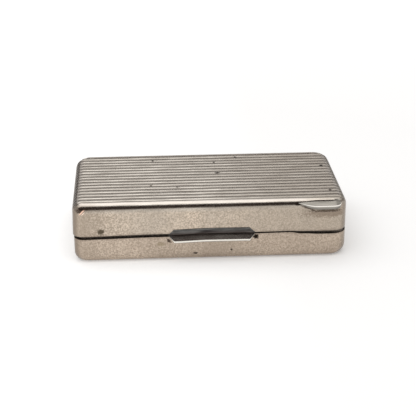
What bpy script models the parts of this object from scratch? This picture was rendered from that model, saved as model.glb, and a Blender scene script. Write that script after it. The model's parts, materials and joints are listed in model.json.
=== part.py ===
# Pocket silver box with a reeded lid, two-part thumb piece, bare cartouche and knuckle hinge.
# Metres, +Z up. +X runs along the box, the thumb piece faces -Y, the hinge is at +Y.
# The origin is the middle of the flat underside.

import math

import bmesh
import bpy
from mathutils import Matrix, Vector

# Overall form
box_width = 0.0800
box_depth = 0.0421
box_height = 0.0180
corner_radius = 0.0029
top_fillet = 0.00286
foot_fillet = 0.0024
base_inset = 0.0003

# Sheet and joints between soldered pieces
wall = 0.0008
floor_sheet = 0.0008
lid_sheet = 0.0010
solder_gap = 0.0001
overrun = 0.0020

# Seam between lid and base: it arches along the front and its gap changes along it
seam_height = 0.0080
seam_gap = 0.00085
seam_arch = 0.0003
hinge_gap = 0.0006
seam_station_shares = (-1.0, -0.37, 0.27, 0.58, 0.66, 0.80, 1.0)
seam_gap_shares = (1.0, 0.94, 0.38, 0.33, 0.70, 1.0, 1.0)
seam_arch_shares = (-0.63, 0.40, 0.75, 1.0, 0.0, -0.53, -0.67)

# Reeds across the lid, and the border line on its long fillets
reed_count = 16
reed_depth = 0.0003
reed_facets = 6
reed_shoulder = 0.00025
reed_stock = 0.00002
border_angle = math.radians(47.0)
border_depth = 0.00015
border_width = 0.0005

# Inner bezel that stands up inside the lid
bezel_sheet = 0.0005
bezel_gap = 0.00015
bezel_rise = 0.0015
bezel_skirt = 0.0032
bezel_end_gap = 0.0003

# Thumb piece: an upper lip on the lid and a hollowed lower lip on the base
lip_centre = 0.00042
lip_tip_width = 0.0250
lid_lip_width = 0.0217
lid_lip_height = 0.0014
lid_lip_top_reach = 0.00035
lid_lip_rim_reach = 0.00085
base_lip_width = 0.0227
base_lip_height = 0.0019
base_lip_rim_reach = 0.0004
base_lip_nose_reach = 0.00148
base_lip_nose_radius = 0.00025
base_lip_nose_drop = 0.00145
base_lip_hollow_share = 0.32
lip_facets = 8

# Leaf-shaped cartouche plate over the lid's front edge, round its right corner
cartouche_left = 0.0254
cartouche_wrap = math.radians(60.0)
cartouche_reach = 0.00115
cartouche_drop = 0.0017
cartouche_rim = 0.0011
leaf_back_angle = math.radians(46.0)
leaf_tip_angle = math.radians(34.0)
leaf_full_share = 0.55
leaf_end_share = 0.80
leaf_tip_share = 0.10
leaf_stations = 24
leaf_seat_facets = 5

# Knuckle hinge
hinge_end_margin = 0.0071
hinge_inset = 0.00025
knuckle_count = 7
knuckle_radius = 0.0013
knuckle_gap = 0.00015
knuckle_facets = 32
channel_gap = 0.0001
pin_radius = 0.0005
pin_clearance = 0.00006
plug_length = 0.0008
bearer_margin = 0.0020
bearer_thick = 0.0012
bearer_height = 0.0026
bearer_ease = 0.0003

# Facets of the round edges
corner_facets = 8
top_facets = 6
foot_facets = 4
ease_facets = 2

# Places worked out from the sizes above
front_face = -box_depth / 2.0
back_face = box_depth / 2.0
half_width = box_width / 2.0
hinge_length = box_width - 2.0 * (corner_radius + hinge_end_margin)
hinge_y = back_face - hinge_inset
hinge_z = seam_height
reed_pitch = (box_depth - 2.0 * top_fillet) / reed_count
reed_edge = box_depth / 2.0 - top_fillet
weld_distance = wall / 800.0

turn_along_x = Matrix(((0.0, 0.0, 1.0), (1.0, 0.0, 0.0), (0.0, 1.0, 0.0))).to_4x4()
turn_along_y = Matrix(((1.0, 0.0, 0.0), (0.0, 0.0, -1.0), (0.0, 1.0, 0.0))).to_4x4()


def clear_scene():
    for item in list(bpy.data.objects):
        bpy.data.objects.remove(item)


def make_collection(name):
    group = bpy.data.collections.new(name)
    bpy.context.scene.collection.children.link(group)
    return group


def silver(name, colour, roughness):
    material = bpy.data.materials.new(name)
    material.use_nodes = True
    shader = material.node_tree.nodes["Principled BSDF"]
    shader.inputs["Base Color"].default_value = (*colour, 1.0)
    shader.inputs["Metallic"].default_value = 1.0
    shader.inputs["Roughness"].default_value = roughness
    material.diffuse_color = (*colour, 1.0)
    return material


def add_object(name, mesh, group):
    item = bpy.data.objects.new(name, mesh)
    group.objects.link(item)
    if group is cutters:
        item.hide_render = True
        item.display_type = "WIRE"
    return item


def smooth(item, sharp_angle):
    item.data.shade_smooth()
    item.data.set_sharp_from_angle(angle=sharp_angle)


def cut(item, cutter, operation="DIFFERENCE"):
    modifier = item.modifiers.new(cutter.name, "BOOLEAN")
    modifier.operation = operation
    modifier.object = cutter
    modifier.solver = "EXACT"


# A box with rounded upright corners, a rounded top edge and a rounded foot
def rounded_box(name, group, size, centre, low, corner, top=0.0, foot=0.0):
    work = bmesh.new()
    bmesh.ops.create_cube(work, size=1.0)
    bmesh.ops.scale(work, vec=size, verts=work.verts)
    middle = Vector((centre[0], centre[1], low + size[2] / 2.0))
    bmesh.ops.translate(work, vec=middle, verts=work.verts)
    upright = [e for e in work.edges if abs(e.verts[0].co.z - e.verts[1].co.z) > size[2] / 2.0]
    bmesh.ops.bevel(work, geom=upright, offset=corner, offset_type="OFFSET",
                    segments=corner_facets, profile=0.5, affect="EDGES")
    for radius, facets, side in ((top, top_facets, 1.0), (foot, foot_facets, -1.0)):
        if radius > 0.0:
            face = max(work.faces, key=lambda f: side * f.calc_center_median().z)
            bmesh.ops.bevel(work, geom=list(face.edges), offset=radius, offset_type="OFFSET",
                            segments=facets, profile=0.5, affect="EDGES")
    bmesh.ops.recalc_face_normals(work, faces=work.faces)
    mesh = bpy.data.meshes.new(name)
    work.to_mesh(mesh)
    work.free()
    return add_object(name, mesh, group)


# A flat outline drawn as a curve, thickened along one axis and made a mesh
def outline_solid(name, group, points, length, turn, shift):
    curve = bpy.data.curves.new(name, "CURVE")
    curve.dimensions = "2D"
    curve.fill_mode = "BOTH"
    curve.extrude = length / 2.0
    spline = curve.splines.new("POLY")
    spline.points.add(len(points) - 1)
    for place, (across, up) in zip(spline.points, points):
        place.co = (across, up, 0.0, 1.0)
    spline.use_cyclic_u = True
    drawn = bpy.data.objects.new(name + "_outline", curve)
    group.objects.link(drawn)
    drawn.matrix_world = Matrix.Translation(shift) @ turn
    bpy.context.view_layer.update()
    depsgraph = bpy.context.evaluated_depsgraph_get()
    mesh = bpy.data.meshes.new_from_object(drawn.evaluated_get(depsgraph))
    work = bmesh.new()
    work.from_mesh(mesh)
    bmesh.ops.remove_doubles(work, verts=work.verts, dist=weld_distance)
    bmesh.ops.recalc_face_normals(work, faces=work.faces)
    work.to_mesh(mesh)
    work.free()
    mesh.name = name
    item = add_object(name, mesh, group)
    item.matrix_world = drawn.matrix_world.copy()
    bpy.data.objects.remove(drawn)
    return item


# A round bar along the box, from its middle and its length
def bar(name, group, radius, length, centre, facets):
    work = bmesh.new()
    bmesh.ops.create_cone(work, cap_ends=True, segments=facets, radius1=radius,
                          radius2=radius, depth=length)
    mesh = bpy.data.meshes.new(name)
    work.to_mesh(mesh)
    work.free()
    item = add_object(name, mesh, group)
    item.matrix_world = Matrix.Translation(centre) @ turn_along_x
    return item


def between(value, stations, heights):
    for k in range(len(stations) - 1):
        if value <= stations[k + 1]:
            t = (value - stations[k]) / (stations[k + 1] - stations[k])
            return heights[k] + max(t, 0.0) * (heights[k + 1] - heights[k])
    return heights[-1]


# Height of the lid rim (side 1) or the base rim (side -1) at a place in the plan
def rim_height(x, y, side):
    station = x / half_width
    gap = seam_gap * between(station, seam_station_shares, seam_gap_shares)
    arch = seam_arch * between(station, seam_station_shares, seam_arch_shares)
    back = min(max((y - front_face) / box_depth, 0.0), 1.0)
    front_rim = seam_height + arch + side * gap / 2.0
    back_rim = seam_height + side * hinge_gap / 2.0
    return front_rim * (1.0 - back) + back_rim * back


# A block that ends at a rim: below the lid's rim, or above the base's rim
def rim_cutter(name, side):
    work = bmesh.new()
    bmesh.ops.create_cube(work, size=1.0)
    bmesh.ops.scale(work, vec=(box_width + overrun, box_depth, box_height), verts=work.verts)
    for share in seam_station_shares[1:-1]:
        everything = list(work.verts) + list(work.edges) + list(work.faces)
        bmesh.ops.bisect_plane(work, geom=everything, dist=weld_distance,
                               plane_co=(share * half_width, 0.0, 0.0), plane_no=(1.0, 0.0, 0.0))
    for vert in work.verts:
        at_rim = vert.co.z * side > 0.0
        vert.co.z = rim_height(vert.co.x, vert.co.y, side)
        if not at_rim:
            vert.co.z -= side * (box_height + overrun)
        vert.co.y *= (box_depth + overrun) / box_depth
    bmesh.ops.recalc_face_normals(work, faces=work.faces)
    mesh = bpy.data.meshes.new(name)
    work.to_mesh(mesh)
    work.free()
    return add_object(name, mesh, cutters)


def arc(centre, radius, start, end, facets):
    points = []
    for k in range(facets + 1):
        turn = start + (end - start) * k / facets
        points.append((centre[0] + radius * math.cos(turn), centre[1] + radius * math.sin(turn)))
    return points


# Section of everything above the reeds: convex reeds with sharp grooves between them
def reed_outline():
    radius = (reed_pitch * reed_pitch / 4.0 + reed_depth * reed_depth) / (2.0 * reed_depth)
    sweep = math.asin(reed_pitch / 2.0 / radius)
    points = [(-reed_edge - reed_shoulder, box_height + reed_stock)]
    for reed in range(reed_count):
        middle = -reed_edge + (reed + 0.5) * reed_pitch
        crown = arc((middle, box_height - radius), radius, math.pi / 2.0 + sweep,
                    math.pi / 2.0 - sweep, reed_facets)
        points.extend(crown if reed == 0 else crown[1:])
    points.append((reed_edge + reed_shoulder, box_height + reed_stock))
    points.append((reed_edge + reed_shoulder, box_height + overrun))
    points.append((-reed_edge - reed_shoulder, box_height + overrun))
    return points


# A small groove along a long fillet of the lid, front (side -1) or back (side 1)
def border_outline(side):
    centre = (side * reed_edge, box_height - top_fillet)
    out = Vector((side * math.cos(border_angle), math.sin(border_angle)))
    along = Vector((-out.y, out.x))
    surface = Vector(centre) + out * top_fillet
    inner = surface - out * border_depth
    outer = surface + out * border_depth
    left = outer + along * border_width
    right = outer - along * border_width
    return [tuple(inner), tuple(right), tuple(left)]


def channel_cutter(name):
    return bar(name, cutters, knuckle_radius + channel_gap, hinge_length + 2.0 * knuckle_gap,
               (0.0, hinge_y, hinge_z), knuckle_facets)


def make_lid_pan():
    size = (box_width, box_depth, box_height + reed_stock)
    pan = rounded_box("lid_pan", parts, size, (0.0, 0.0), 0.0, corner_radius, top_fillet)
    hollow_size = (box_width - 2.0 * wall, box_depth - 2.0 * wall,
                   box_height - lid_sheet + overrun)
    hollow = rounded_box("lid_hollow_cutter", cutters, hollow_size, (0.0, 0.0), -overrun,
                         corner_radius - wall, top_fillet - wall)
    cut(pan, hollow)
    cut(pan, rim_cutter("lid_rim_cutter", 1.0))
    long_cut = box_width + overrun
    cut(pan, outline_solid("reed_cutter", cutters, reed_outline(), long_cut,
                           turn_along_x, (0.0, 0.0, 0.0)))
    for name, side in (("front_border_cutter", -1.0), ("back_border_cutter", 1.0)):
        cut(pan, outline_solid(name, cutters, border_outline(side), long_cut,
                               turn_along_x, (0.0, 0.0, 0.0)))
    cut(pan, channel_cutter("lid_channel_cutter"))
    pan.data.materials.append(silver("reeded_silver", (0.62, 0.57, 0.51), 0.22))
    return pan


def make_base_pan():
    size = (box_width - base_inset, box_depth, box_height)
    centre = (base_inset / 2.0, 0.0)
    pan = rounded_box("base_pan", parts, size, centre, 0.0, corner_radius, 0.0, foot_fillet)
    hollow_size = (size[0] - 2.0 * wall, box_depth - 2.0 * wall, box_height)
    hollow = rounded_box("base_hollow_cutter", cutters, hollow_size, centre, floor_sheet,
                         corner_radius - wall, 0.0, foot_fillet - wall)
    cut(pan, hollow)
    cut(pan, rim_cutter("base_rim_cutter", -1.0))
    cut(pan, channel_cutter("base_channel_cutter"))
    pan.data.materials.append(silver("base_silver", (0.58, 0.52, 0.46), 0.28))
    return pan


# The U-shaped strip that lines the base and stands up inside the lid
def make_bezel():
    low = seam_height - bezel_skirt
    height = bezel_skirt + bezel_rise
    centre = (base_inset / 2.0, 0.0)
    outer_in = wall + bezel_gap
    inner_in = outer_in + bezel_sheet
    outer = (box_width - base_inset - 2.0 * outer_in, box_depth - 2.0 * outer_in, height)
    inner = (box_width - base_inset - 2.0 * inner_in, box_depth - 2.0 * inner_in,
             height + overrun)
    strip = rounded_box("base_bezel", parts, outer, centre, low, corner_radius - outer_in)
    core = rounded_box("bezel_core_cutter", cutters, inner, centre, low - overrun / 2.0,
                       corner_radius - inner_in)
    cut(strip, core)
    bearer_face = back_face - wall - solder_gap - bearer_thick - bezel_end_gap
    open_size = (box_width, box_depth, height + overrun)
    opening = rounded_box("bezel_back_cutter", cutters, open_size,
                          (0.0, bearer_face + box_depth / 2.0), low - overrun / 2.0, wall)
    cut(strip, opening)
    strip.data.materials.append(silver("bezel_silver", (0.45, 0.41, 0.37), 0.35))
    return strip


# Front view of one lip: full width at the seam, narrower at its far edge
def lip_front(far_width, near, far):
    half_tip = lip_tip_width / 2.0
    half_far = far_width / 2.0
    return [(lip_centre - half_tip, near), (lip_centre + half_tip, near),
            (lip_centre + half_far, far), (lip_centre - half_far, far)]


def lip_seat():
    return front_face - solder_gap


def make_lid_lip():
    rim = rim_height(lip_centre, front_face, 1.0)
    top = rim + lid_lip_height
    seat = lip_seat()
    section = [(seat, rim), (seat, top), (seat - lid_lip_top_reach, top),
               (seat - lid_lip_rim_reach, rim)]
    lip = outline_solid("lid_thumb_lip", parts, section, lip_tip_width + overrun,
                        turn_along_x, (lip_centre, 0.0, 0.0))
    front = lip_front(lid_lip_width, rim - solder_gap, top)
    shape = outline_solid("lid_lip_cutter", cutters, front, box_depth, turn_along_y,
                          (0.0, front_face, 0.0))
    cut(lip, shape, "INTERSECT")
    lip.data.materials.append(silver("lip_silver", (0.36, 0.34, 0.31), 0.25))
    return lip


# Section of the lower lip: a hollowed face that runs down and out to a round nose
def base_lip_section(rim):
    seat = lip_seat()
    start = Vector((seat - base_lip_rim_reach, rim))
    nose_centre = Vector((seat - base_lip_nose_reach + base_lip_nose_radius,
                          rim - base_lip_nose_drop))
    end = nose_centre + Vector((-math.sqrt(0.5), math.sqrt(0.5))) * base_lip_nose_radius
    chord = end - start
    inward = Vector((-chord.y, chord.x)).normalized() * -1.0
    points = [(seat, rim)]
    for k in range(lip_facets + 1):
        t = k / lip_facets
        sag = base_lip_hollow_share * 4.0 * t * (1.0 - t) * chord.length / 2.0
        place = start + chord * t + inward * sag
        points.append(tuple(place))
    points.extend(arc(tuple(nose_centre), base_lip_nose_radius, math.pi * 0.75,
                      math.pi * 1.5, lip_facets)[1:])
    points.append((seat, rim - base_lip_height))
    return points


def make_base_lip():
    rim = rim_height(lip_centre, front_face, -1.0)
    lip = outline_solid("base_thumb_lip", parts, base_lip_section(rim),
                        lip_tip_width + overrun, turn_along_x, (lip_centre, 0.0, 0.0))
    front = lip_front(base_lip_width, rim + solder_gap, rim - base_lip_height)
    shape = outline_solid("base_lip_cutter", cutters, front, box_depth, turn_along_y,
                          (0.0, front_face, 0.0))
    cut(lip, shape, "INTERSECT")
    lip.data.materials.append(silver("lip_silver_dark", (0.36, 0.34, 0.31), 0.25))
    return lip


# A place along the lid's front edge and round its right corner, with the way out of the box
def edge_place(share):
    straight = half_width - corner_radius - cartouche_left
    along = share * (straight + corner_radius * cartouche_wrap)
    if along <= straight:
        return Vector((cartouche_left + along, front_face, 0.0)), Vector((0.0, -1.0, 0.0))
    turn = (along - straight) / corner_radius
    outward = Vector((math.sin(turn), -math.cos(turn), 0.0))
    centre = Vector((half_width - corner_radius, front_face + corner_radius, 0.0))
    return centre + outward * corner_radius, outward


# How full the leaf is along its length: a slow swell from its point, then a blunt round end
def leaf_fullness(share):
    swell = math.sin(math.pi / 2.0 * min(share / leaf_full_share, 1.0))
    if share > leaf_end_share:
        run = (share - leaf_end_share) / (1.0 - leaf_end_share)
        swell = math.sqrt(1.0 - run * run)
    return max(swell, leaf_tip_share)


# One section of the leaf, out and up from the box: along its seat, then round its rim
def leaf_section(fullness):
    seat_radius = top_fillet + solder_gap
    points = []
    for k in range(leaf_seat_facets + 1):
        full_turn = leaf_back_angle * (1.0 - k / leaf_seat_facets)
        turn = leaf_tip_angle + fullness * (full_turn - leaf_tip_angle)
        points.append(Vector((seat_radius * math.cos(turn) - top_fillet,
                              box_height - top_fillet + seat_radius * math.sin(turn))))
    tip = Vector((seat_radius * math.cos(leaf_tip_angle) - top_fillet,
                  box_height - top_fillet + seat_radius * math.sin(leaf_tip_angle)))
    rim_top = box_height - cartouche_drop
    for up in (rim_top - cartouche_rim, rim_top):
        points.append(tip + (Vector((cartouche_reach, up)) - tip) * fullness)
    return points


# The leaf is a loft, because its section changes along an edge that turns a corner
def make_cartouche():
    work = bmesh.new()
    rings = []
    for k in range(leaf_stations + 1):
        share = k / leaf_stations
        foot, outward = edge_place(share)
        ring = []
        for out, up in leaf_section(leaf_fullness(share)):
            ring.append(work.verts.new(foot + outward * out + Vector((0.0, 0.0, up))))
        rings.append(ring)
    count = len(rings[0])
    for near, far in zip(rings, rings[1:]):
        for k in range(count):
            work.faces.new((near[k], near[(k + 1) % count], far[(k + 1) % count], far[k]))
    work.faces.new(rings[0])
    work.faces.new(list(reversed(rings[-1])))
    bmesh.ops.recalc_face_normals(work, faces=work.faces)
    mesh = bpy.data.meshes.new("lid_cartouche")
    work.to_mesh(mesh)
    work.free()
    plate = add_object("lid_cartouche", mesh, parts)
    plate.data.materials.append(silver("cartouche_silver", (0.55, 0.52, 0.48), 0.18))
    return plate


def make_bearers():
    seat = back_face - wall - solder_gap
    length = hinge_length + 2.0 * bearer_margin
    for name, side, colour in (("base_hinge_bearer", -1.0, 0.44), ("lid_hinge_bearer", 1.0, 0.47)):
        rim = hinge_z + side * hinge_gap / 2.0
        low = min(rim, rim + side * bearer_height)
        work = bmesh.new()
        bmesh.ops.create_cube(work, size=1.0)
        bmesh.ops.scale(work, vec=(length, bearer_thick, bearer_height), verts=work.verts)
        bmesh.ops.translate(work, vec=(0.0, seat - bearer_thick / 2.0,
                                       low + bearer_height / 2.0), verts=work.verts)
        mesh = bpy.data.meshes.new(name)
        work.to_mesh(mesh)
        work.free()
        bearer = add_object(name, mesh, parts)
        ease = bearer.modifiers.new("eased_edges", "BEVEL")
        ease.width = bearer_ease
        ease.segments = ease_facets
        ease.limit_method = "ANGLE"
        cut(bearer, channel_cutter(name + "_channel_cutter"))
        bearer.data.materials.append(silver(name + "_silver", (colour, colour, colour), 0.35))


def make_hinge():
    step = hinge_length / knuckle_count
    for k in range(knuckle_count):
        owner = "base" if k % 2 == 0 else "lid"
        name = owner + "_knuckle_" + str(k // 2 + 1)
        centre = (-hinge_length / 2.0 + (k + 0.5) * step, hinge_y, hinge_z)
        knuckle = bar(name, parts, knuckle_radius, step - knuckle_gap, centre, knuckle_facets)
        bore = bar(name + "_bore_cutter", cutters, pin_radius + pin_clearance, step + overrun,
                   centre, knuckle_facets)
        cut(knuckle, bore)
        tone = 0.52 if owner == "base" else 0.56
        knuckle.data.materials.append(silver(name + "_silver", (tone, tone, tone), 0.25))
    barrel_end = hinge_length / 2.0 - knuckle_gap / 2.0
    pin_length = 2.0 * (barrel_end - plug_length - solder_gap)
    pin = bar("hinge_pin", parts, pin_radius, pin_length, (0.0, hinge_y, hinge_z), knuckle_facets)
    pin.data.materials.append(silver("pin_silver", (0.60, 0.60, 0.58), 0.30))
    for name, side in (("hinge_plug_left", -1.0), ("hinge_plug_right", 1.0)):
        centre = (side * (barrel_end - plug_length / 2.0), hinge_y, hinge_z)
        plug = bar(name, parts, pin_radius, plug_length, centre, knuckle_facets)
        plug.data.materials.append(silver(name + "_silver", (0.50, 0.50, 0.48), 0.30))


# The lid's pieces hang from an empty on the hinge axis, so turning it opens the box
def hang_lid():
    pivot = bpy.data.objects.new("lid_pivot", None)
    parts.objects.link(pivot)
    pivot.location = (0.0, hinge_y, hinge_z)
    bpy.context.view_layer.update()
    for item in parts.objects:
        if item.name.startswith("lid_") and item is not pivot:
            item.parent = pivot
            item.matrix_parent_inverse = pivot.matrix_world.inverted()


clear_scene()
parts = make_collection("silver_box")
cutters = make_collection("silver_box_cutters")
make_lid_pan()
make_base_pan()
make_bezel()
make_lid_lip()
make_base_lip()
make_cartouche()
make_bearers()
make_hinge()
hang_lid()
for piece in parts.objects:
    if piece.type == "MESH":
        smooth(piece, math.radians(32.0))
bpy.context.view_layer.update()
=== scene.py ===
import json
import math

import bmesh
import bpy
from mathutils import Matrix, Vector, noise


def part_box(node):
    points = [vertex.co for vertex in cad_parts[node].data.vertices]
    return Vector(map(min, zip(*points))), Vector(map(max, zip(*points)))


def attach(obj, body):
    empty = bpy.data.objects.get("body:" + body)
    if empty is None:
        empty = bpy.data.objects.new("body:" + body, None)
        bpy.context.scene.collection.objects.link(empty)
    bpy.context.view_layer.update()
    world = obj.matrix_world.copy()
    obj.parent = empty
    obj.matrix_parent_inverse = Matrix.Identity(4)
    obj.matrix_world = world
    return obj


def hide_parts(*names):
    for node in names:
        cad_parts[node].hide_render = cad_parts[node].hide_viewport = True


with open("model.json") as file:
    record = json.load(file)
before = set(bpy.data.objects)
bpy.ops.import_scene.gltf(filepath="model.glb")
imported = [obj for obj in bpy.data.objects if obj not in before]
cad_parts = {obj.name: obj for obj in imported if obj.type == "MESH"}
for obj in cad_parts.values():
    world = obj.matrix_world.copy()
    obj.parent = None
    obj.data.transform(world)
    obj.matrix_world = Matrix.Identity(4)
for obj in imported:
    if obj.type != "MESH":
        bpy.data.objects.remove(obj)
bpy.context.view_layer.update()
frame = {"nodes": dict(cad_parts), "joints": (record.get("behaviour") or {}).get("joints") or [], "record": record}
nodes = frame["nodes"]
print("frame loaded:", len(nodes), "nodes")

mm = 0.001


# camera at the photograph's place
cameraValues = {
    "azimuth": -3.7587, "elevation": 23.0027,     # degrees, azimuth 0 looks along +Y
    "distance": 359.354, "aimX": 0.503, "aimZ": 7.460,     # mm
    "focal": 1171.376, "frameWide": 416.0,     # pixels of the photograph
    "sensor": 36.0,
}


def makeCamera(values):
    az, el = math.radians(values["azimuth"]), math.radians(values["elevation"])
    back = Vector((math.sin(az) * math.cos(el), -math.cos(az) * math.cos(el), math.sin(el)))
    aim = Vector((values["aimX"], 0.0, values["aimZ"])) * mm
    data = bpy.data.cameras.new("photoCamera")
    data.sensor_width = values["sensor"]
    data.lens = values["focal"] * values["sensor"] / values["frameWide"]
    data.clip_start = 0.01
    camera = bpy.data.objects.new("photoCamera", data)
    bpy.context.scene.collection.objects.link(camera)
    camera.location = aim + back * values["distance"] * mm
    camera.rotation_euler = (-back).to_track_quat("-Z", "Y").to_euler()
    bpy.context.scene.camera = camera
    return camera


makeCamera(cameraValues)
print("camera placed")


# the shape of the body in mm, read off the frame where it can be
lidLow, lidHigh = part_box("lid_pan")
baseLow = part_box("base_pan")[0]
body = {
    "width": (lidHigh.x - lidLow.x) / mm, "depth": (lidHigh.y - lidLow.y) / mm,
    "height": lidHigh.z / mm, "corner": 2.9, "topFillet": 2.86, "footFillet": 2.4,
    "wall": 0.8, "floorSheet": 0.8, "lidSheet": 1.0,
    "baseInset": baseLow.x / mm - lidLow.x / mm,
    "rimEase": 0.1,
    # the corners are softer at the foot and round the top: heights, then shares for each corner
    "softCorner": 5.0, "softTop": (9.5, 17.4), "softFoot": (1.0, 3.6), "softFootShare": 0.6,
    "softBack": 1.0, "softFrontLeft": 0.5, "softFrontRight": 0.8, "softFootRight": 1.2,
    # beside the bezel the inner faces of the walls keep their place
    "bezelFrom": (3.4, 4.6), "bezelTo": (9.7, 11.5), "bezelKeep": 0.9, "bezelInset": (0.3, 0.7),
}
hinge = frame["joints"][0]
hingeY, hingeZ = hinge["pos_m"][1] / mm, hinge["pos_m"][2] / mm
seam = {     # the closing line at the front, by stations from the left end to the right
    "gap": 0.85, "arch": 0.3, "hingeGap": 0.6,
    "stations": (-1.0, -0.37, 0.27, 0.58, 0.66, 0.80, 1.0),
    "gapShares": (1.0, 0.94, 0.38, 0.33, 0.70, 1.0, 1.0),
    "archShares": (-0.63, 0.40, 0.75, 1.0, 0.0, -0.53, -0.67),
}


def between(value, stations, heights):     # a smooth way from one station's height to the next
    for k in range(len(stations) - 1):
        if value <= stations[k + 1]:
            t = max((value - stations[k]) / (stations[k + 1] - stations[k]), 0.0)
            t = t * t * (3.0 - 2.0 * t)
            return heights[k] + t * (heights[k + 1] - heights[k])
    return heights[-1]


def rimHeight(x, y, side):     # side is 1 for the lid and -1 for the base
    station = x / (body["width"] / 2.0)
    gap = seam["gap"] * between(station, seam["stations"], seam["gapShares"])
    arch = seam["arch"] * between(station, seam["stations"], seam["archShares"])
    back = min(max(y / body["depth"] + 0.5, 0.0), 1.0)
    front = hingeZ + arch + side * gap / 2.0
    return front * (1.0 - back) + (hingeZ + side * seam["hingeGap"] / 2.0) * back


def smooth(value, low, high):
    t = min(max((value - low) / (high - low), 0.0), 1.0)
    return t * t * (3.0 - 2.0 * t)


def easeCorner(x, y, inset, height):     # draws a place near a corner in towards a rounder one
    soft = body["softCorner"]
    cx, cy = body["width"] / 2.0 - soft, body["depth"] / 2.0 - soft
    qx, qy = abs(x) - cx, abs(y) - cy
    if qx <= 0.0 or qy <= 0.0:
        return x, y
    reach = math.hypot(qx, qy)
    over = max(reach - (soft - inset), 0.0)
    atFoot = 1.0 - smooth(height, *body["softFoot"])
    if x > 0.0 and y < 0.0:     # the front right corner is soft all the way down
        share = body["softFrontRight"]
        share += (body["softFootRight"] - share) * atFoot
        beside = smooth(height, *body["bezelFrom"]) * (1.0 - smooth(height, *body["bezelTo"]))
        share *= 1.0 - body["bezelKeep"] * beside * smooth(inset, *body["bezelInset"])
    else:
        share = body["softBack"] if y > 0.0 else body["softFrontLeft"]
        share = max(share * smooth(height, *body["softTop"]), body["softFootShare"] * atFoot)
    keep = 1.0 - over * share / reach
    return math.copysign(cx + qx * keep, x), math.copysign(cy + qy * keep, y)


def newObject(name, mesh):
    piece = bpy.data.objects.new(name, mesh)
    bpy.context.scene.collection.objects.link(piece)
    return piece


def finishMesh(name, work, sharpAngle=40.0):
    bmesh.ops.recalc_face_normals(work, faces=work.faces)
    bmesh.ops.triangulate(work, faces=[f for f in work.faces if len(f.verts) > 4])
    mesh = bpy.data.meshes.new(name)
    work.to_mesh(mesh)
    work.free()
    mesh.transform(Matrix.Scale(mm, 4))
    mesh.shade_smooth()
    mesh.set_sharp_from_angle(angle=math.radians(sharpAngle))
    return newObject(name, mesh)


def ringFaces(work, near, far):
    count = len(near)
    for k in range(count):
        work.faces.new((near[k], near[(k + 1) % count], far[(k + 1) % count], far[k]))


# the plan of a rounded oblong: places and outward directions, going round once
def planLoop(width, depth, corner, centreX, longSteps, shortSteps, cornerSteps):
    a, b = width / 2.0 - corner, depth / 2.0 - corner
    loop = []
    corners = ((a, b, 0.0), (-a, b, 90.0), (-a, -b, 180.0), (a, -b, 270.0))
    for k, (cx, cy, start) in enumerate(corners):
        for step in range(cornerSteps + 1):
            turn = math.radians(start + 90.0 * step / cornerSteps)
            out = Vector((math.cos(turn), math.sin(turn)))
            loop.append((Vector((cx, cy)) + out * corner, out))
        nextX, nextY = corners[(k + 1) % 4][:2]
        here, out = loop[-1]
        there = Vector((nextX, nextY)) + out * corner
        steps = longSteps if k % 2 == 0 else shortSteps
        for step in range(1, steps):
            loop.append((here.lerp(there, step / steps), out))
    return [(place + Vector((centreX, 0.0)), out) for place, out in loop]


# section of a pan wall from the outer fillet over the rim to the inner fillet, as (inset, height)
def wallRings(side, fillet, face, wall, sheet, startTurn, filletSteps, wallSteps):
    rings = []
    for k in range(filletSteps + 1):
        turn = startTurn * (1.0 - k / filletSteps)
        level = face - side * fillet * (1.0 - math.sin(turn))
        rings.append(("turn", fillet * (1.0 - math.cos(turn)), level, turn))
    straight = face - side * fillet
    for k in range(1, wallSteps):
        rings.append(("wall", 0.0, straight, k / wallSteps))
    ease = body["rimEase"]
    for inset, rise in ((0.0, ease), (0.3 * ease, 0.3 * ease), (ease, 0.0),
                        (wall - ease, 0.0), (wall - 0.3 * ease, 0.3 * ease), (wall, ease)):
        rings.append(("rim", inset, rise, 0.0))
    inner = max(fillet - wall, 0.05)
    innerFace = face - side * sheet
    for k in range(1, 5):
        rings.append(("inside", wall, innerFace - side * inner, k / 4.0))
    for k in range(1, 7):
        turn = math.pi / 2.0 * k / 6.0
        rings.append(("bend", wall + inner * (1.0 - math.cos(turn)),
                      innerFace - side * inner * (1.0 - math.sin(turn)), turn))
    return rings


def startMarks():     # the silver finish reads these: dirt with painted shade, polish with a painted highlight, the warm tint that paints the reflected table, and plain, which is 1 on the evenly dull inside faces
    work = bmesh.new()
    for mark in ("dirt", "polish", "warm", "plain"):
        work.verts.layers.float.new(mark)
    return work


def markVert(work, vert, **marks):
    for mark, value in marks.items():
        vert[work.verts.layers.float[mark]] = value


marksOn = {     # turns are degrees up the lid's rounded edge
    "lineTurn": 39.0, "lineWide": 8.5, "lineDarkReflection": 0.80,
    "lineSwell": 7.0, "swellFrom": (12.0, 38.0),     # the painted dark reflection line widens to the left, mm
    "topTurn": 84.0, "topWide": 8.0, "topDirt": 0.66, "topSide": (0.6, 0.9),
    # the band along the edge is polish with a painted highlight
    "polishTurn": 70.0, "polishWide": 18.0,
    "leafDull": 0.95, "leafFrom": (26.0, 31.0), "leafBack": (-17.0, -15.0),
    # both ends are darker: painted shade, a darker reflection, less on the base
    "leftEndShade": 0.84, "rightEndShade": 0.46, "endSide": (0.30, 0.80), "baseShare": 0.75,
    # on the rims a painted shade in the closing seam; in the grooves, dirt
    "grooveDirt": 1.0, "grooveFrom": (0.30, 0.80), "insideDirt": 0.2, "rimEdgeShade": 0.3,
}


def hump(value, middle, wide):
    return math.exp(-((value - middle) / wide) ** 2)


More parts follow.
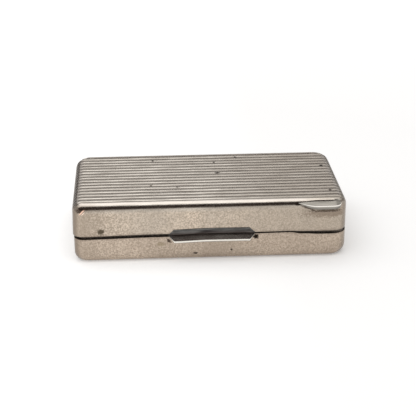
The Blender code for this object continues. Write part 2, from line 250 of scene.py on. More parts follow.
def edgePolishAndHighlight(x, y, turn):     # bright along the rounded edge: polish with a painted highlight, duller above the leaf
    aboveLeaf = marksOn["leafDull"] * smooth(x, *marksOn["leafFrom"])
    aboveLeaf *= 1.0 - smooth(y, *marksOn["leafBack"])
    return hump(turn, marksOn["polishTurn"], marksOn["polishWide"]) * (1.0 - aboveLeaf)


def topLine(turn, outY):     # a dull line where the reeds meet the bright edge, long sides only
    line = marksOn["topDirt"] * hump(turn, marksOn["topTurn"], marksOn["topWide"])
    return line * smooth(abs(outY), *marksOn["topSide"])


def placeRing(work, loop, ring, side, baseInset, shapeOuter=None):
    kind, inset, level, share = ring
    verts = []
    for place, out in loop:
        spot = place + out * (baseInset - inset)     # the loop lies at baseInset from the wall
        rim = rimHeight(spot.x, spot.y, side)
        dirt, polish, warm = 0.0, 0.0, 1.0
        # both ends of the box are darker: painted shade, a darker reflection, less on the base
        endShading = marksOn["leftEndShade" if out.x < 0.0 else "rightEndShade"]
        endShading *= smooth(abs(out.x), *marksOn["endSide"])
        endShading *= 1.0 if side > 0.0 else marksOn["baseShare"]
        if kind == "turn":
            height = level
            turn = math.degrees(share)
            # the edge's front-facing part takes the walls' warm tint, which paints the reflected table
            warm = max(1.0 - turn / 45.0, 0.0) if side > 0.0 else 1.0
            if side > 0.0:
                # the dark line below the bright edge is a painted dark reflection
                swell = marksOn["lineSwell"] * smooth(-spot.x, *marksOn["swellFrom"])
                line = hump(turn, marksOn["lineTurn"], marksOn["lineWide"] + swell)
                dirt = max(marksOn["lineDarkReflection"] * line, topLine(turn, out.y))
                polish = edgePolishAndHighlight(spot.x, spot.y, turn)
        elif kind == "bend":
            height, dirt = level, marksOn["insideDirt"]
        elif kind == "wall":
            height = level + (rim + side * body["rimEase"] - level) * share
        elif kind == "rim":
            height = rim + side * level
            # the rim faces are dark: painted shade in the closing seam
            dirt = 1.0 if inset > 0.0 else marksOn["rimEdgeShade"]
        else:
            height = rim + side * body["rimEase"]
            height += (level - height) * share
            # darkest at the top of the inner wall, next to the seam: painted shade, fading to the inside's dirt
            dirt = 1.0 + (marksOn["insideDirt"] - 1.0) * smooth(share, 0.0, 0.6)
        co = Vector((*easeCorner(spot.x, spot.y, inset, height), height))
        if shapeOuter:
            co, deep = shapeOuter(co, out, ring)
            dirt = max(dirt, deep)
        vert = work.verts.new(co)
        markVert(work, vert, dirt=max(dirt, endShading), polish=polish, warm=warm,
                 plain=1.0 if kind in ("inside", "bend") else 0.0)
        verts.append(vert)
    return verts


reeds = {
    "count": 16, "depth": 0.30, "samples": 12, "shoulder": 0.25,
    "patchTurn": 62.0, "borderTurn": 71.0, "borderDepth": 0.06, "borderWide": 4.0,
    "wander": 0.07, "wanderScale": 0.09, "crownWear": 0.02, "endTurns": (8.0, 34.0),
    "lastRow": 52.0, "edgeRows": 10,     # the rows close up past this turn of the corners
}


def boxTop(x, y):     # place on the plain rounded top, its normal and its turn in degrees
    r, corner = body["topFillet"], body["corner"]
    qx = abs(x) - (body["width"] / 2.0 - corner)
    qy = abs(y) - (body["depth"] / 2.0 - corner)
    if qx > 0.0 and qy > 0.0:
        inside = corner - math.hypot(qx, qy)
        out = Vector((math.copysign(qx, x), math.copysign(qy, y))).normalized()
    elif qx > qy:
        inside, out = corner - qx, Vector((math.copysign(1.0, x), 0.0))
    else:
        inside, out = corner - qy, Vector((0.0, math.copysign(1.0, y)))
    inside = min(max(inside, 0.0), r)
    turn = math.acos(min(max(1.0 - inside / r, 0.0), 1.0))
    height = body["height"] - r * (1.0 - math.sin(turn))
    normal = Vector((out.x * math.cos(turn), out.y * math.cos(turn), math.sin(turn)))
    return Vector((x, y, height)), normal, math.degrees(turn), inside


def reedDrop(x, y):     # how far the reeded face lies below the plain one
    edge = body["depth"] / 2.0 - body["topFillet"]
    pitch = 2.0 * edge / reeds["count"]
    depth = reeds["depth"]
    beyond = (abs(y) - edge) / reeds["shoulder"]
    if beyond >= 1.0:
        return 0.0
    if beyond >= 0.0:
        return depth * (1.0 - beyond) ** 2
    ease = min((edge - abs(y)) / pitch, 1.0)
    y += ease * reeds["wander"] * noise.noise(Vector((x * reeds["wanderScale"], y * 0.35, 3.7)))
    radius = (pitch * pitch / 4.0 + depth * depth) / (2.0 * depth)
    off = (y + edge) % pitch - pitch / 2.0
    crown = radius - math.sqrt(radius * radius - off * off)
    return crown + reeds["crownWear"] * (0.5 + 0.5 * noise.noise(Vector((x * 0.12, y * 0.5, 9.1))))


def grooveDirt(drop):
    return marksOn["grooveDirt"] * smooth(drop / reeds["depth"], *marksOn["grooveFrom"])


def makeLidShell():
    r, corner = body["topFillet"], body["corner"]
    turn = math.radians(reeds["patchTurn"])
    inset = r * (1.0 - math.cos(turn))
    a, b = body["width"] / 2.0 - inset, body["depth"] / 2.0 - inset
    rounding = corner - inset
    step = 2.0 * (body["depth"] / 2.0 - r) / reeds["count"] / reeds["samples"]
    limit = b - rounding * (1.0 - math.sin(math.radians(reeds["lastRow"])))
    rows = []
    y = 0.0
    while y < limit:
        rows.append(y)
        y += step
    for k in range(1, reeds["edgeRows"] + 1):
        share = k / reeds["edgeRows"]
        phi = math.radians(reeds["lastRow"] + (90.0 - reeds["lastRow"]) * share)
        rows.append(b - rounding + rounding * math.sin(phi))
    rows = sorted({round(-v, 6) for v in rows} | {round(v, 6) for v in rows})
    straight = a - rounding - 1.5
    columns = [("in", -straight + 2.0 * straight * k / 60.0) for k in range(61)]
    ends = [math.sin(math.pi / 2.0 * k / 16.0) for k in range(1, 17)]
    columns = [("low", f) for f in reversed(ends)] + columns + [("high", f) for f in ends]
    work = startMarks()
    grid, plan = [], []
    for y in rows:
        over = abs(y) - (b - rounding)
        half = a if over <= 0.0 else a - rounding + math.sqrt(max(rounding ** 2 - over ** 2, 0.0))
        line, planLine = [], []
        for kind, value in columns:
            x = value if kind == "in" else straight + value * (half - straight)
            x = -x if kind == "low" else x
            spot, normal, lean, inside = boxTop(x, y)
            spot.x, spot.y = easeCorner(x, y, inside, spot.z)
            drop = reedDrop(spot.x, spot.y)
            vert = work.verts.new(spot - normal * drop)
            outY = normal.y / max(math.cos(math.radians(lean)), 0.001)
            deep = max(grooveDirt(drop), topLine(lean, outY))
            markVert(work, vert, dirt=deep, warm=0.0, polish=edgePolishAndHighlight(x, y, lean))
            line.append(vert)
            planLine.append((x, y))
        grid.append(line)
        plan.append(planLine)
    for low, high in zip(grid, grid[1:]):
        for k in range(len(low) - 1):
            work.faces.new((low[k], low[k + 1], high[k + 1], high[k]))
    top, bottom = grid[-1], grid[0]
    edge = [line[-1] for line in grid] + list(reversed(top))[1:]
    edge += [line[0] for line in reversed(grid)][1:] + bottom[1:-1]
    edgePlan = [line[-1] for line in plan] + list(reversed(plan[-1]))[1:]
    edgePlan += [line[0] for line in reversed(plan)][1:] + plan[0][1:-1]
    loop = []
    for x, y in edgePlan:
        qx, qy = abs(x) - (a - rounding), abs(y) - (b - rounding)
        if qx > 1e-6 and qy > 1e-6:
            out = Vector((math.copysign(qx, x), math.copysign(qy, y))).normalized()
        elif qy > 1e-6 or abs(abs(y) - b) < 1e-6:
            out = Vector((0.0, math.copysign(1.0, y)))
        else:
            out = Vector((math.copysign(1.0, x), 0.0))
        loop.append((Vector((x, y)), out))

    # the border line on the long sides, the reeds' ends on the short ones
    def border(co, out, ring):
        kind, share = ring[0], ring[3]
        if kind != "turn":
            return co, 0.0
        lean = math.degrees(share)
        line = reeds["borderDepth"] * hump(lean, reeds["borderTurn"], reeds["borderWide"])
        deep = line * max(abs(out.y) - 0.5, 0.0) * 2.0
        if abs(out.x) > 0.5:
            deep += reedDrop(co.x, co.y) * smooth(lean, *reeds["endTurns"])
        normal = Vector((out.x * math.cos(share), out.y * math.cos(share), math.sin(share)))
        return co - normal * deep, grooveDirt(deep)

    rings = wallRings(1.0, r, body["height"], body["wall"], body["lidSheet"], turn, 20, 10)
    last = edge
    for ring in rings[1:]:
        verts = placeRing(work, loop, ring, 1.0, inset, border)
        ringFaces(work, last, verts)
        last = verts
    work.faces.new(last)
    return finishMesh("lidShell", work, 60.0)


def makeBaseShell():
    width = body["width"] - body["baseInset"]
    loop = planLoop(width, body["depth"], body["corner"], body["baseInset"] / 2.0, 100, 40, 18)
    work = startMarks()
    rings = wallRings(-1.0, body["footFillet"], 0.0, body["wall"], body["floorSheet"],
                      math.pi / 2.0, 12, 8)
    last = None
    for ring in rings:
        verts = placeRing(work, loop, ring, -1.0, 0.0)
        if last:
            ringFaces(work, last, verts)
        else:
            work.faces.new(verts)
        last = verts
    work.faces.new(last)
    return finishMesh("baseShell", work, 60.0)


channel = {"radius": 1.4, "length": 60.3, "steps": 64}     # mm, room for the hinge tube


def cutChannel(piece):
    bpy.ops.mesh.primitive_cylinder_add(vertices=channel["steps"], radius=channel["radius"] * mm,
                                        depth=channel["length"] * mm,
                                        location=(0.0, hingeY * mm, hingeZ * mm),
                                        rotation=(0.0, math.pi / 2.0, 0.0))
    tool = bpy.context.object
    cutter = piece.modifiers.new("channel", "BOOLEAN")
    cutter.object = tool
    cutter.operation = "DIFFERENCE"
    bpy.context.view_layer.update()
    shaped = bpy.data.meshes.new_from_object(piece.evaluated_get(
        bpy.context.evaluated_depsgraph_get()))
    piece.modifiers.clear()
    piece.data = shaped
    bpy.data.objects.remove(tool)


lidShell = makeLidShell()
cutChannel(lidShell)
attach(lidShell, "lid")
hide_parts("lid_pan")
print("lid shell made:", len(lidShell.data.polygons), "faces")

baseShell = makeBaseShell()
cutChannel(baseShell)
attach(baseShell, "base")
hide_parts("base_pan")
print("base shell made:", len(baseShell.data.polygons), "faces")


# a piece lofted from closed sections along its length; each point is (place, polish with a painted highlight, dirt
# with painted shade)
def loftPiece(name, sections, sharpAngle=38.0):
    work = startMarks()
    rings = []
    for section in sections:
        ring = []
        for co, polish, dirt in section:
            vert = work.verts.new(co)
            markVert(work, vert, polish=polish, dirt=dirt)
            ring.append(vert)
        rings.append(ring)
    for near, far in zip(rings, rings[1:]):
        ringFaces(work, near, far)
    work.faces.new(rings[0])
    work.faces.new(list(reversed(rings[-1])))
    return finishMesh(name, work, sharpAngle)


lips = {     # mm; reach is out from the front wall, rise is from the line where the lips meet
    "stations": (-12.35, -10.57, -0.94, 9.71, 12.85),
    "meet": (8.22, 8.38, 8.64, 8.58, 8.42),
    "ends": (-12.35, 12.85), "mitre": (1.60, 1.60), "steps": 56, "least": 0.07,
    "lid": (     # reach, rise, polish with a painted highlight on the base lip's nose, dirt with painted shade in the creases and under the base lip
        (-0.05, 1.52, 0.0, 0.6), (0.08, 1.53, 0.1, 0.2), (0.17, 1.49, 0.25, 0.0),
        (0.24, 1.38, 0.08, 0.0), (0.36, 0.98, 0.0, 0.2), (0.47, 0.56, 0.0, 0.4),
        (0.56, 0.18, 0.0, 0.7), (0.55, 0.06, 0.0, 1.0), (0.46, 0.0, 0.0, 1.0),
        (-0.05, 0.0, 0.0, 1.0),
    ),
    "base": (
        (-0.05, -0.75, 0.0, 1.0), (0.34, -0.16, 0.0, 1.0), (0.44, -0.10, 0.0, 1.0),
        (0.54, -0.16, 0.15, 0.5), (0.84, -0.64, 0.34, 0.0), (1.14, -1.12, 0.42, 0.0),
        (1.36, -1.46, 0.50, 0.0), (1.45, -1.58, 0.9, 0.0), (1.51, -1.72, 1.0, 0.0),
        (1.54, -1.88, 1.0, 0.0), (1.53, -1.98, 0.9, 0.0), (1.46, -2.10, 0.45, 0.0),
        (1.36, -2.26, 0.4, 0.1), (1.14, -2.36, 0.1, 0.5), (0.50, -2.46, 0.0, 0.8),
        (-0.05, -2.52, 0.0, 1.0),
    ),
}


def makeLip(side):
    left, right = lips["ends"]
    front = -body["depth"] / 2.0
    sections = []
    for k in range(lips["steps"] + 1):
        x = left + (right - left) * (0.5 - 0.5 * math.cos(math.pi * k / lips["steps"]))
        share = min((x - left) / lips["mitre"][0], (right - x) / lips["mitre"][1], 1.0)
        share = lips["least"] + (1.0 - lips["least"]) * share
        meet = between(x, lips["stations"], lips["meet"])
        sections.append([(Vector((x, front - (reach * share if reach > 0.0 else reach),
                                  meet + rise * share)), polish * share, dirt)
                         for reach, rise, polish, dirt in lips[side]])
    return loftPiece(side + "Lip", sections)


leaf = {     # the bare leaf-shaped plate over the lid's front edge and right corner
    "left": 25.4, "wrap": math.radians(27.0), "backTurn": math.radians(55.0),
    "tipTurn": math.radians(40.0), "fullShare": 0.45, "endShare": 0.84, "tipShare": 0.06,
    "stations": 60, "reach": 0.95, "rimTop": 16.35, "rimLow": 15.35, "thick": 0.12,
}


def leafPlace(share):
    straight = body["width"] / 2.0 - body["corner"] - leaf["left"]
    along = share * (straight + body["corner"] * leaf["wrap"])
    if along <= straight:
        return Vector((leaf["left"] + along, -body["depth"] / 2.0, 0.0)), Vector((0.0, -1.0, 0.0))
    turn = (along - straight) / body["corner"]
    out = Vector((math.sin(turn), -math.cos(turn), 0.0))
    centre = Vector((body["width"] / 2.0 - body["corner"],
                     body["corner"] - body["depth"] / 2.0, 0.0))
    return centre + out * body["corner"], out


def makeLeaf():
    fillet = body["topFillet"]

    def onFillet(turn, lift):
        return Vector(((fillet + lift) * math.cos(turn) - fillet,
                       body["height"] - fillet + (fillet + lift) * math.sin(turn)))

    tip = onFillet(leaf["tipTurn"], 0.0)
    back, face = onFillet(leaf["backTurn"], -0.03), onFillet(leaf["backTurn"], leaf["thick"])
    rim = Vector((leaf["reach"], leaf["rimTop"]))
    low = Vector((leaf["reach"] - 0.04, leaf["rimLow"]))
    seat = [onFillet(leaf["backTurn"] * (1.0 - k / 6.0), -0.03) for k in range(7)]
    # the seat and the underside are dark: painted shade under the leaf; the rim's polish is a painted highlight
    outline = [(point, 0.0, 1.0) for point in seat[1:]]
    outline += [(low + Vector((-0.10, -0.06)), 0.0, 1.0), (low, 0.0, 0.5),
                (low + Vector((0.03, 0.10)), 0.0, 0.0), (low.lerp(rim, 0.80), 0.2, 0.0),
                (rim + Vector((0.0, -0.10)), 0.9, 0.0), (rim + Vector((-0.06, 0.04)), 1.0, 0.0),
                (rim + Vector((-0.24, 0.09)), 1.0, 0.0), (rim + Vector((-0.36, 0.04)), 0.0, 0.45)]
    for k in range(1, 6):     # a slightly dished face
        spot = (rim + Vector((-0.36, 0.04))).lerp(face, k / 6.0)
        outline.append((spot - Vector((0.0, 0.05 * math.sin(math.pi * k / 6.0))), 0.0, 0.0))
    outline += [(face + Vector((0.08, 0.0)), 0.3, 0.0), (face, 0.0, 0.4), (back, 0.0, 1.0)]
    sections = []
    for k in range(leaf["stations"] + 1):
        share = k / leaf["stations"]
        full = math.sin(math.pi / 2.0 * min(share / leaf["fullShare"], 1.0))
        if share > leaf["endShare"]:
            full = math.sqrt(1.0 - ((share - leaf["endShare"]) / (1.0 - leaf["endShare"])) ** 2)
        full = max(full, leaf["tipShare"])
        foot, out = leafPlace(share)
        section = []
        for point, polish, dirt in outline:
            spot = tip + (point - tip) * full
            place = foot + out * spot.x
            eased = easeCorner(place.x, place.y, -spot.x, spot.y)
            section.append((Vector((*eased, spot.y)), polish, dirt))
        sections.append(section)
    return loftPiece("bareLeaf", sections, 32.0)


finePieces = {"lid_thumb_lip": makeLip("lid"), "base_thumb_lip": makeLip("base"),
              "lid_cartouche": makeLeaf()}
for name, piece in finePieces.items():
    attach(piece, "lid" if name.startswith("lid") else "base")
    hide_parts(name)
print("lips and leaf made")


# short ways to add, set and link shader nodes
class NodeTree:
    def __init__(self, tree):
        self.tree = tree

    def add(self, kind, **settings):
        node = self.tree.nodes.new(kind)
        for name, value in settings.items():
            setattr(node, name, value)
        return node

    def put(self, value, socket):     # a link, or a value set on the socket itself
        if isinstance(value, bpy.types.NodeSocket):
            self.tree.links.new(value, socket)
        elif isinstance(value, tuple) and socket.type == "RGBA":
            socket.default_value = (*value, 1.0)
        else:
            socket.default_value = value

    def noise(self, place, scale, detail=3.0, stretch=(1.0, 1.0, 1.0)):
        mapping = self.add("ShaderNodeMapping")
        self.put(stretch, mapping.inputs["Scale"])
        self.put(place, mapping.inputs["Vector"])
        node = self.add("ShaderNodeTexNoise")
        self.put(scale, node.inputs["Scale"])
        self.put(detail, node.inputs["Detail"])
        self.put(mapping.outputs["Vector"], node.inputs["Vector"])
        return node.outputs["Fac"]

    def range(self, value, low, high, toLow=0.0, toHigh=1.0):
        node = self.add("ShaderNodeMapRange")
        for name, number in (("From Min", low), ("From Max", high), ("To Min", toLow),
                             ("To Max", toHigh), ("Value", value)):
            self.put(number, node.inputs[name])
        return node.outputs["Result"]

    def mix(self, share, a, b):
        node = self.add("ShaderNodeMix", data_type="RGBA")
        for value, k in ((share, 0), (a, 6), (b, 7)):
            self.put(value, node.inputs[k])
        return node.outputs[2]

    def math(self, operation, a, b):
        node = self.add("ShaderNodeMath", operation=operation)
        self.put(a, node.inputs[0])
        self.put(b, node.inputs[1])
        return node.outputs[0]

    def vector(self, operation, a, b):
        node = self.add("ShaderNodeVectorMath", operation=operation)
        self.put(a, node.inputs[0])
        self.put(b, node.inputs[1])
        return node

    def mark(self, name):
        return self.add("ShaderNodeAttribute", attribute_name=name).outputs["Fac"]


noiseLayers = {     # scale per metre, detail and stretch
    "blotch": (160.0, 4.0), "mottle": (2500.0, 5.0), "cloud": (45.0, 2.0),
    "along": (1700.0, 3.0, (0.10, 1.0, 1.0)), "grain": (3800.0, 2.0),
    "brush": (2600.0, 2.0, (0.06, 1.0, 1.0)), "scratch": (2200.0, 2.0, (1.0, 0.12, 0.35)),
}
dullInside = 0.38     # roughness of the pans' inside faces


# the silver finish: worn metal with mottling, grain, fine scratches and dirt in the low places, warm on the walls
# where the tint paints the reflected table; the polish mark adds a painted highlight and the dirt mark painted
# shade and dark reflections
def silverMaterial(name, look):
    material = bpy.data.materials.new(name)
    material.use_nodes = True
    n = NodeTree(material.node_tree)
    shader = material.node_tree.nodes["Principled BSDF"]
    n.put(1.0, shader.inputs["Metallic"])
    place = n.add("ShaderNodeTexCoord").outputs["Object"]
    layers = {layer: n.noise(place, *values) for layer, values in noiseLayers.items()}
    blotch, mottle = layers["blotch"], layers["mottle"]
    streak = n.range(layers["along"] if "polish" in look else mottle, 0.33, 0.67)
    tone = n.mix(streak, look["dark"], look["light"])
    peel = look["peel"]
    # the walls take a warm tint that paints the reflected table
    if "sideReflectLight" in look:
        peel = n.range(n.mark("warm"), 0.0, 1.0, 0.12 * peel, peel)
        sideTone = n.mix(n.range(mottle, 0.34, 0.66), look["sideReflectDark"], look["sideReflectLight"])
        tone = n.mix(n.mark("warm"), tone, sideTone)
    tone = n.mix(n.range(blotch, 0.35, 0.75, 0.0, 0.30), tone, look["dark"])
    if "endShade" in look:     # the box is duller towards one end
        low, high, share = look["endShade"]
        across = n.add("ShaderNodeSeparateXYZ")
        n.put(place, across.inputs[0])
        shade = n.range(across.outputs["X"], low * mm, high * mm, 0.0, share)
        tone = n.mix(shade, tone, look["sideReflectDark"])
    tone = n.mix(n.range(layers["cloud"], 0.40, 0.62, 0.0, 0.22), tone, look["dark"])
    tone = n.mix(n.range(layers["grain"], 0.55, 0.75, 0.0, 0.25), tone, look["light"])
    # the polish mark brightens the edges: polish with a painted highlight
    if "polish" in look:
        tone = n.mix(n.math("MULTIPLY", n.mark("polish"), look["polish"]), tone, look["bright"])
    # the dirt mark darkens with dirt in the low places and with painted shade and dark reflections
    tone = n.mix(n.math("MULTIPLY", n.mark("dirt"), 0.9), tone, grimeAndShade)
    for centre, size, colour, strength, *tilt in look.get("spots", ()):
        away = n.vector("SUBTRACT", place, tuple(v * mm for v in centre)).outputs["Vector"]
        if tilt:
            turned = n.add("ShaderNodeVectorRotate", rotation_type="Y_AXIS")
            n.put(away, turned.inputs["Vector"])
            n.put(math.radians(tilt[0]), turned.inputs["Angle"])
            away = turned.outputs["Vector"]
        ratio = n.vector("DIVIDE", away, tuple(v * mm for v in size)).outputs["Vector"]
        length = n.add("ShaderNodeVectorMath", operation="LENGTH")
        n.put(ratio, length.inputs[0])
        ragged = n.math("ADD", length.outputs["Value"], n.range(mottle, 0.3, 0.7, -0.25, 0.25))
        tone = n.mix(n.range(ragged, 1.15, 0.55, 0.0, strength), tone, colour)
    n.put(tone, shader.inputs["Base Color"])
    low, high = look["rough"]
    rough = n.range(n.math("ADD", mottle, blotch), 0.7, 1.3, low, high)
    insideRough = n.range(n.mark("plain"), 0.0, 1.0, 0.0, dullInside)
    n.put(n.math("MAXIMUM", rough, insideRough), shader.inputs["Roughness"])
    height = n.math("MULTIPLY", mottle, peel)
    for layer in ("grain", "brush", "scratch"):
        height = n.math("ADD", height, n.math("MULTIPLY", layers[layer], look[layer]))
    bump = n.add("ShaderNodeBump")
    n.put(1.0, bump.inputs["Strength"])
    n.put(mm, bump.inputs["Distance"])
    n.put(height, bump.inputs["Height"])
    n.put(bump.outputs["Normal"], shader.inputs["Normal"])
    return material


# the colour of dirt in the low places and of the painted shade and dark reflections
grimeAndShade = (0.050, 0.034, 0.028)
spotsOn = {     # place, half size, colour, strength and tilt of each mark, in mm and degrees: stains, and some painted shadows and glints
    "lid": [     # the wide ones are painted shade: the left end and the wall under the leaf
        ((-41.0, -21.5, 12.0), (13.0, 4.0, 8.5), (0.30, 0.243, 0.190), 0.55),
        ((-31.8, -21.0, 9.7), (1.25, 1.0, 0.95), (0.08, 0.062, 0.04), 0.95),
        # a dark patch at the front-left corner: the painted dark reflection line turning the corner
        ((-37.7, -20.6, 16.2), (1.4, 1.6, 1.0), (0.07, 0.045, 0.034), 0.90),
        # two copper strokes: a painted glint
        ((-37.0, -20.7, 15.9), (1.25, 1.2, 0.20), (0.98, 0.66, 0.50), 0.95, 44.0),
        ((-36.7, -20.7, 15.5), (0.75, 1.2, 0.16), (0.90, 0.70, 0.58), 0.90, 44.0),
        # painted shadow of the leaf on the front wall, under its rim and at its tip
        ((34.5, -21.0, 13.9), (8.5, 1.8, 1.5), (0.20, 0.15, 0.11), 0.62),
        ((34.0, -21.2, 14.62), (6.0, 1.4, 0.42), (0.07, 0.052, 0.04), 0.85),
        ((28.0, -21.1, 15.6), (2.3, 1.4, 0.32), (0.05, 0.037, 0.028), 0.85, -22.0),
        ((25.1, -20.6, 16.6), (0.8, 1.2, 0.35), (0.04, 0.03, 0.024), 0.90),
        ((-2.4, 4.3, 18.0), (0.55, 0.5, 0.6), (0.02, 0.016, 0.013), 0.90),
        ((3.6, 2.8, 18.0), (0.95, 0.34, 0.6), (0.012, 0.01, 0.008), 1.0),
        ((10.1, 15.9, 18.0), (0.5, 0.7, 0.6), (0.012, 0.01, 0.008), 1.0),
        ((-16.0, 14.3, 18.0), (0.4, 0.55, 0.6), (0.02, 0.016, 0.013), 0.90),
        ((3.1, 11.9, 18.0), (0.4, 0.5, 0.6), (0.03, 0.024, 0.02), 0.85),
        ((36.1, 6.9, 18.0), (0.7, 0.7, 0.8), (0.012, 0.01, 0.008), 1.0),
        ((-9.1, -8.2, 18.0), (0.4, 0.6, 0.6), (0.04, 0.03, 0.025), 0.80),
        ((35.7, -13.1, 18.0), (0.45, 0.6, 0.7), (0.04, 0.03, 0.025), 0.85),
        ((-16.9, -6.5, 18.0), (0.45, 0.6, 0.6), (0.05, 0.04, 0.03), 0.75),
        ((-2.0, -20.6, 17.0), (0.5, 0.6, 0.3), (0.06, 0.045, 0.035), 0.80),
    ],
    "base": [
        # painted shade at the left end
        ((-41.0, -21.5, 4.5), (13.0, 4.0, 6.5), (0.30, 0.243, 0.190), 0.38),
        # darker under the lips: partly the lips' painted shadow, partly tarnish
        ((-1.5, -21.5, 3.0), (19.0, 3.0, 5.5), (0.30, 0.243, 0.190), 0.30),
        ((-4.5, -21.0, 2.3), (0.9, 1.0, 0.35), (0.03, 0.022, 0.018), 0.95),
        ((6.0, -21.0, 3.1), (0.35, 1.0, 0.35), (0.03, 0.022, 0.018), 0.95),
        # darker at the lips' ends: partly painted shade in the gap, partly tarnish
        ((-12.3, -21.0, 6.5), (0.95, 1.0, 0.55), (0.045, 0.03, 0.022), 0.92, -45.0),
        ((-14.6, -21.0, 5.4), (1.3, 1.0, 0.7), (0.26, 0.21, 0.13), 0.55),
        # the same at the right lip end: partly painted shade, partly tarnish
        ((13.1, -21.0, 7.1), (0.85, 1.0, 0.9), (0.014, 0.010, 0.008), 1.0, 30.0),
    ],
}
looks = {     # colours are linear; peel, grain, brush and scratch are bump depths in mm
    "reeded_silver": {
        "dark": (0.36, 0.325, 0.28), "light": (0.74, 0.69, 0.615), "bright": (0.52, 0.475, 0.43),
        # the walls' colours paint the reflected table's warm tint on the silver
        "sideReflectDark": (0.355, 0.288, 0.222), "sideReflectLight": (0.71, 0.60, 0.488),
        "endShade": (2.0, 22.0, 0.36),
        "polish": 0.9, "rough": (0.18, 0.28), "peel": 0.019, "grain": 0.003, "brush": 0.004,
        "scratch": 0.002, "spots": spotsOn["lid"],
    },
    "base_silver": {
        # the warm colours paint the reflected table on the silver
        "dark": (0.335, 0.268, 0.21), "light": (0.67, 0.56, 0.455), "spots": spotsOn["base"],
        "rough": (0.24, 0.36), "peel": 0.022, "grain": 0.004, "brush": 0.004, "scratch": 0.004,
    },
    # very dark: a painted dark reflection on the lips' faces; bright is the nose's painted highlight
    "lip_silver": {
        "dark": (0.028, 0.029, 0.030), "light": (0.175, 0.172, 0.164), "bright": (0.86, 0.82, 0.75),
        "polish": 1.0, "rough": (0.16, 0.26), "peel": 0.004, "grain": 0.002, "brush": 0.004,
        "scratch": 0.003,
    },
    # the leaf's face is toned down to paint its grey reflection; bright is its rim's painted highlight
    "cartouche_silver": {
        "dark": (0.165, 0.154, 0.135), "light": (0.275, 0.257, 0.226), "bright": (0.95, 0.91, 0.84),
        "polish": 0.95, "rough": (0.14, 0.22), "peel": 0.003, "grain": 0.002, "brush": 0.002,
        "scratch": 0.003,
    },
    # dark, to paint the shade seen through the seam
    "inner_silver": {
        "dark": (0.07, 0.058, 0.048), "light": (0.20, 0.165, 0.14),
        "rough": (0.35, 0.50), "peel": 0.010, "grain": 0.004, "brush": 0.008, "scratch": 0.004,
    },
    "hinge_silver": {
        "dark": (0.36, 0.31, 0.26), "light": (0.58, 0.52, 0.46),
        "rough": (0.20, 0.32), "peel": 0.008, "grain": 0.003, "brush": 0.004, "scratch": 0.004,
    },
    "pin_silver": {
        "dark": (0.40, 0.37, 0.33), "light": (0.60, 0.57, 0.52),
        "rough": (0.20, 0.30), "peel": 0.004, "grain": 0.002, "brush": 0.002, "scratch": 0.003,
    },
}
materials = {name: silverMaterial(name, look) for name, look in looks.items()}


def wear(piece, slot):
    piece.data.materials.clear()
    piece.data.materials.append(materials[slot])


slotOf = {part["node"]: part["material_slot"] for part in frame["record"]["subparts"]}
for name, node in nodes.items():
    node.data.materials.clear()
    node.data.materials.append(materials[slotOf[name]])
wear(lidShell, "reeded_silver")
wear(baseShell, "base_silver")
for name, piece in finePieces.items():
    wear(piece, slotOf[name])
print("materials given")


# floor, flags and lamp, in metres
floorLook = {
    "size": 4.0, "drop": 0.00002, "colour": (0.93, 0.93, 0.93), "rough": 0.8,
    "lift": (0.19, 0.62), "liftFrom": (0.12, 0.95),     # paler away from the box
    "leftPaintedLight": (0.025, -0.065, 0.0, 0.17),     # and to the left of it: painted light that clears the box's shadow there
}
cards = {     # seen only in the silver: size, place, what they face and colour
    "frontFlag": ((1.4, 0.66), (0.0, -0.45, 0.50), (0.0, -0.45, 0.0), (0.12, 0.09, 0.08)),
    "backCard": ((1.6, 0.40), (0.0, 0.50, 0.19), (0.0, 0.0, 0.10), (0.60, 0.59, 0.575)),
}
cardRough = 0.9
overhead = {"size": (1.3, 1.1), "place": (-0.15, -0.08, 0.80), "power": 4.5}
ambientLook = {"colour": (1.0, 0.98, 0.96), "strength": 0.5}
white = (1.0, 1.0, 1.0)


def mattMaterial(name, colour, rough):
    material = bpy.data.materials.new(name)
    material.use_nodes = True
    shader = material.node_tree.nodes["Principled BSDF"]
    shader.inputs["Base Color"].default_value = (*colour, 1.0)
    shader.inputs["Roughness"].default_value = rough
    shader.inputs["Specular IOR Level"].default_value = 0.0
    return material


def seenRays(tree):     # 1 for camera, mirrored and transmitted rays
    path = tree.add("ShaderNodeLightPath").outputs
    total = tree.math("ADD", path["Is Camera Ray"], path["Is Glossy Ray"])
    return tree.math("ADD", total, path["Is Transmission Ray"])


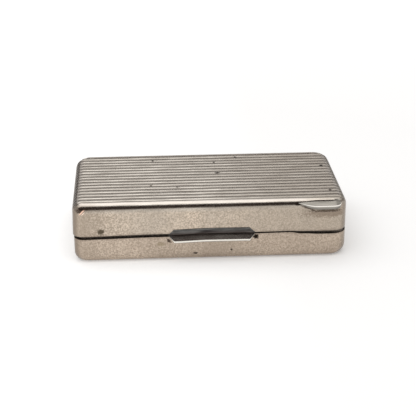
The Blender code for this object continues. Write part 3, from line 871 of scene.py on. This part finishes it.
def makeFloor(look):
    bpy.ops.mesh.primitive_plane_add(size=look["size"], location=(0.0, 0.0, -look["drop"]))
    floor = bpy.context.object
    floor.name = "paleFloor"
    material = mattMaterial("paleFloor", look["colour"], look["rough"])
    n = NodeTree(material.node_tree)
    place = n.add("ShaderNodeNewGeometry").outputs["Position"]
    fromBox = n.add("ShaderNodeVectorMath", operation="LENGTH")
    n.put(place, fromBox.inputs[0])
    across = n.add("ShaderNodeSeparateXYZ")
    n.put(place, across.inputs[0])
    farLift = n.range(fromBox.outputs["Value"], *look["liftFrom"], *look["lift"])
    # painted light on the floor left of the box, clearing its shadow there
    leftPaintedLight = n.range(across.outputs["X"], *look["leftPaintedLight"])
    lift = n.add("ShaderNodeEmission")     # seen rays only, so the ground shows white
    n.put(white, lift.inputs["Color"])
    strength = n.math("MULTIPLY", seenRays(n), n.math("ADD", farLift, leftPaintedLight))
    n.put(strength, lift.inputs["Strength"])
    both = n.add("ShaderNodeAddShader")
    n.put(material.node_tree.nodes["Principled BSDF"].outputs[0], both.inputs[0])
    n.put(lift.outputs[0], both.inputs[1])
    n.put(both.outputs[0], material.node_tree.nodes["Material Output"].inputs["Surface"])
    floor.data.materials.append(material)


def makeCard(name, size, place, aim, colour):
    bpy.ops.mesh.primitive_plane_add(size=1.0)
    card = bpy.context.object
    card.name = name
    card.scale = (*size, 1.0)
    card.location = place
    card.rotation_euler = (Vector(aim) - Vector(place)).to_track_quat("Z", "Y").to_euler()
    card.data.materials.append(mattMaterial(name, colour, cardRough))
    card.visible_camera = False
    card.visible_shadow = False
    card.visible_diffuse = False


def makeLamp(look):     # a rectangle that faces the middle of the box
    data = bpy.data.lights.new("overhead", "AREA")
    data.shape = "RECTANGLE"
    data.size, data.size_y = look["size"]
    data.energy = look["power"]
    lamp = bpy.data.objects.new("overhead", data)
    bpy.context.scene.collection.objects.link(lamp)
    lamp.location = look["place"]
    lamp.rotation_euler = (-Vector(look["place"])).to_track_quat("-Z", "Y").to_euler()


def makeWorld(look):     # soft light for the box, plain white for seen rays
    world = bpy.data.worlds.new("studio")
    bpy.context.scene.world = world
    world.use_nodes = True
    n = NodeTree(world.node_tree)
    ambient = world.node_tree.nodes["Background"]
    n.put(look["colour"], ambient.inputs["Color"])
    n.put(look["strength"], ambient.inputs["Strength"])
    shown = n.add("ShaderNodeBackground")
    n.put(white, shown.inputs["Color"])
    n.put(1.0, shown.inputs["Strength"])
    either = n.add("ShaderNodeMixShader")
    for value, k in ((seenRays(n), 0), (ambient.outputs[0], 1), (shown.outputs[0], 2)):
        n.put(value, either.inputs[k])
    n.put(either.outputs[0], world.node_tree.nodes["World Output"].inputs["Surface"])


makeFloor(floorLook)
for name, card in cards.items():
    makeCard(name, *card)
makeLamp(overhead)
makeWorld(ambientLook)
bpy.context.scene.view_settings.view_transform = "Standard"
print("stage set")
